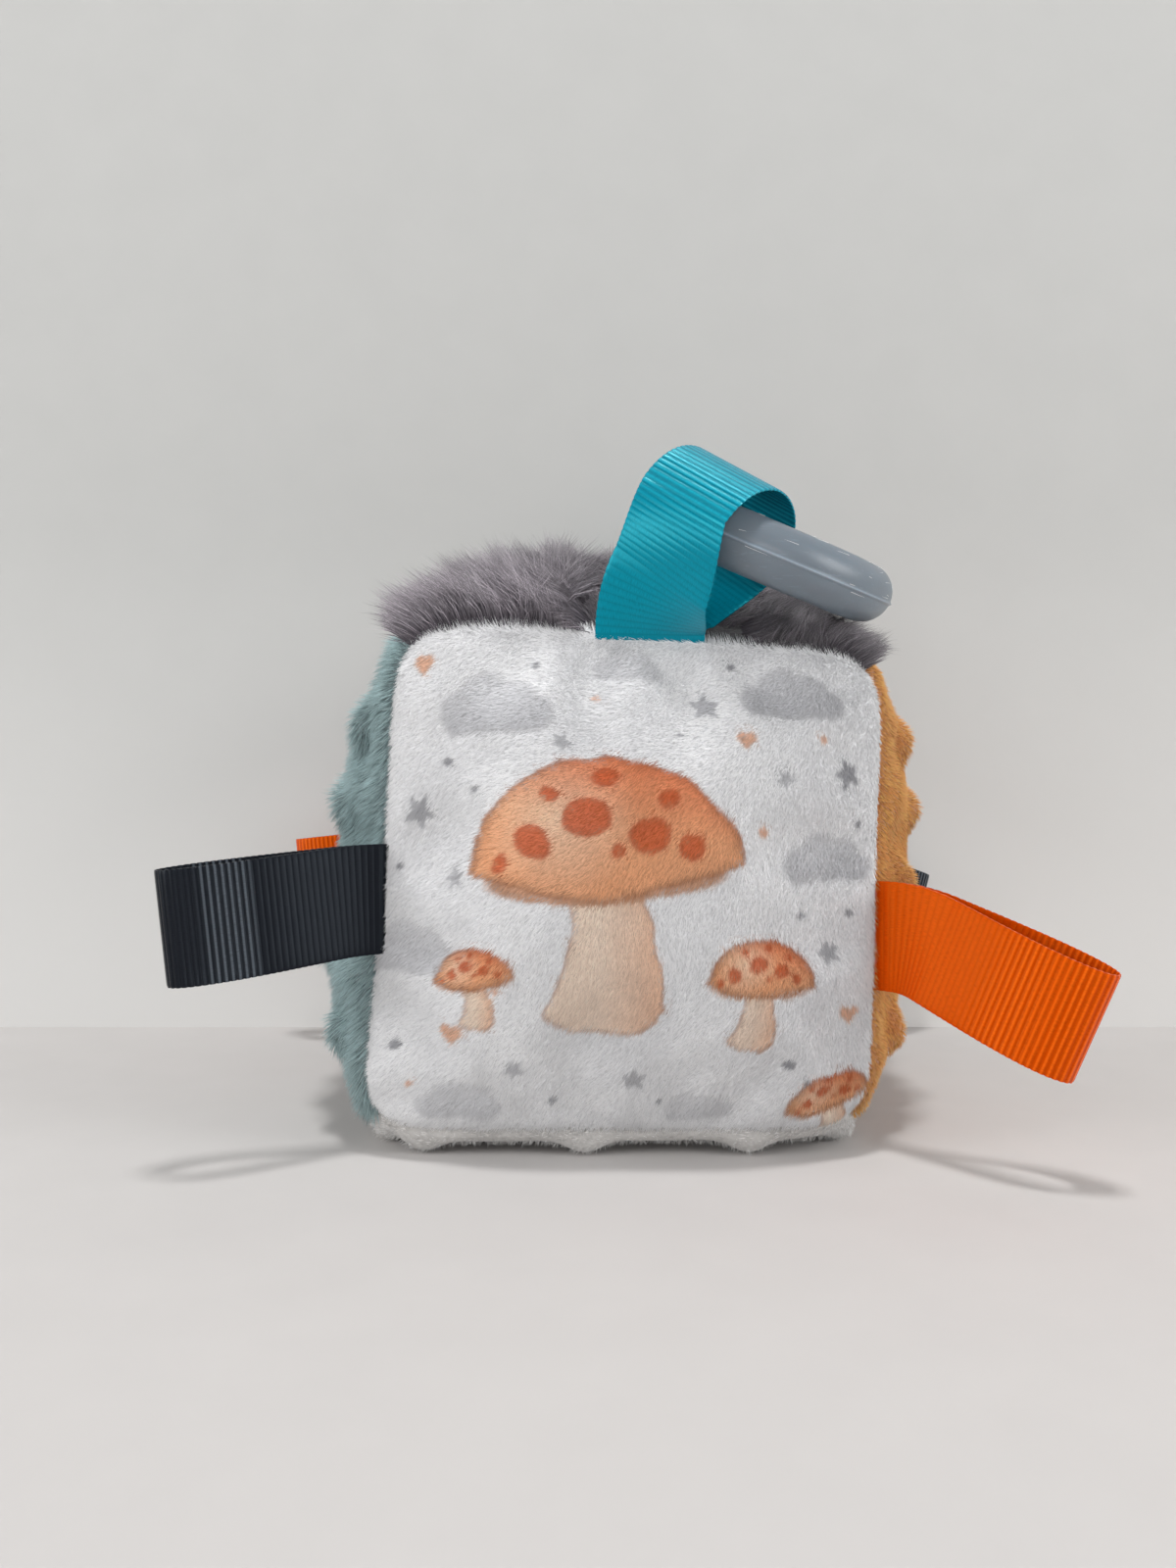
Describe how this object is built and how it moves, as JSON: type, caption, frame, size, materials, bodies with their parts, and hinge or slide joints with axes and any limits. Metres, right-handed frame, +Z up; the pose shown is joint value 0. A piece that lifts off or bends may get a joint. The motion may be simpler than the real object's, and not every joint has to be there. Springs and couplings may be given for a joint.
{
  "type": "soft activity block",
  "caption": "Soft fabric baby block with plush, dimpled and furry faces, flat ribbon loops sewn into its seams and a silicone teether ring threaded on one loop.",
  "frame": {"origin": "middle of the flat rest area under the block", "axes": "+Z up; -Y out of the printed front face; +X to the block's right, seen from the front"},
  "size_m": [0.1856, 0.146, 0.1466],
  "materials": {
    "printed_plush": "short white plush with a soft print",
    "sage_dimple_plush": "sage green dimple plush, matt",
    "caramel_dimple_plush": "caramel dimple plush, matt",
    "grey_fur": "long-pile warm grey fur fabric",
    "pale_dimple_plush": "warm white dimple plush, matt",
    "filling_fibre": "loose white polyester fibre",
    "sewing_thread": "fine twisted thread",
    "teal_ribbon": "grosgrain ribbon, satin sheen on the ribs",
    "orange_ribbon": "grosgrain ribbon, satin sheen on the ribs",
    "charcoal_ribbon": "grosgrain ribbon, satin sheen on the ribs",
    "grey_silicone": "smooth matt food-grade silicone"
  },
  "bodies": {
    "block": {"front_panel": "printed_plush", "back_panel": "printed_plush", "left_panel": "sage_dimple_plush", "right_panel": "caramel_dimple_plush", "top_panel": "grey_fur", "top_fur": "grey_fur", "bottom_panel": "pale_dimple_plush", "fibre_filling": "filling_fibre", "front_left_seam_thread": "sewing_thread", "front_right_seam_thread": "sewing_thread", "front_top_seam_thread": "sewing_thread", "front_bottom_seam_thread": "sewing_thread", "back_left_seam_thread": "sewing_thread", "back_right_seam_thread": "sewing_thread", "back_top_seam_thread": "sewing_thread", "top_left_seam_thread": "sewing_thread", "top_right_seam_thread": "sewing_thread", "bottom_left_seam_thread": "sewing_thread", "bottom_right_seam_thread": "sewing_thread", "closing_seam_thread": "sewing_thread", "front_left_ribbon_end": "charcoal_ribbon", "front_right_ribbon_end": "orange_ribbon", "back_left_ribbon_end": "orange_ribbon", "back_right_ribbon_end": "charcoal_ribbon", "front_top_ribbon_end": "teal_ribbon", "back_top_ribbon_end": "teal_ribbon"},
    "front_left_ribbon": {"front_left_loop": "charcoal_ribbon"},
    "front_right_ribbon": {"front_right_loop": "orange_ribbon"},
    "back_left_ribbon": {"back_left_loop": "orange_ribbon"},
    "back_right_ribbon": {"back_right_loop": "charcoal_ribbon"},
    "front_top_ribbon": {"front_top_loop": "teal_ribbon"},
    "back_top_ribbon": {"back_top_loop": "teal_ribbon"},
    "ring": {"teether_ring": "grey_silicone"}
  },
  "joints": [
    {"name": "front_left_swing", "type": "hinge", "parent": "block", "child": "front_left_ribbon", "pos_m": [-0.05085, -0.05085, 0.052], "axis": [0, 0, 1], "range_deg": [-60, 95], "stiffness_Nm_per_rad": 0.02},
    {"name": "front_right_swing", "type": "hinge", "parent": "block", "child": "front_right_ribbon", "pos_m": [0.05085, -0.05085, 0.0445], "axis": [0, 0, 1], "range_deg": [-85, 75], "stiffness_Nm_per_rad": 0.02},
    {"name": "back_left_swing", "type": "hinge", "parent": "block", "child": "back_left_ribbon", "pos_m": [-0.05085, 0.05085, 0.052], "axis": [0, 0, 1], "range_deg": [-115, 40], "stiffness_Nm_per_rad": 0.02},
    {"name": "back_right_swing", "type": "hinge", "parent": "block", "child": "back_right_ribbon", "pos_m": [0.05085, 0.05085, 0.048], "axis": [0, 0, 1], "range_deg": [-55, 100], "stiffness_Nm_per_rad": 0.02},
    {"name": "front_top_swing", "type": "hinge", "parent": "block", "child": "front_top_ribbon", "pos_m": [0.003, -0.05085, 0.10485], "axis": [1, 0, 0], "range_deg": [0, 75], "stiffness_Nm_per_rad": 0.05},
    {"name": "back_top_swing", "type": "hinge", "parent": "block", "child": "back_top_ribbon", "pos_m": [0.0117, 0.05085, 0.10485], "axis": [1, 0, 0], "range_deg": [-110, 40], "stiffness_Nm_per_rad": 0.02},
    {"name": "ring_swing", "type": "hinge", "parent": "front_top_ribbon", "child": "ring", "pos_m": [0.01494, -0.05232, 0.12583], "axis": [0.636, -0.6387, -0.4332], "range_deg": [0, 180]}
  ]
}
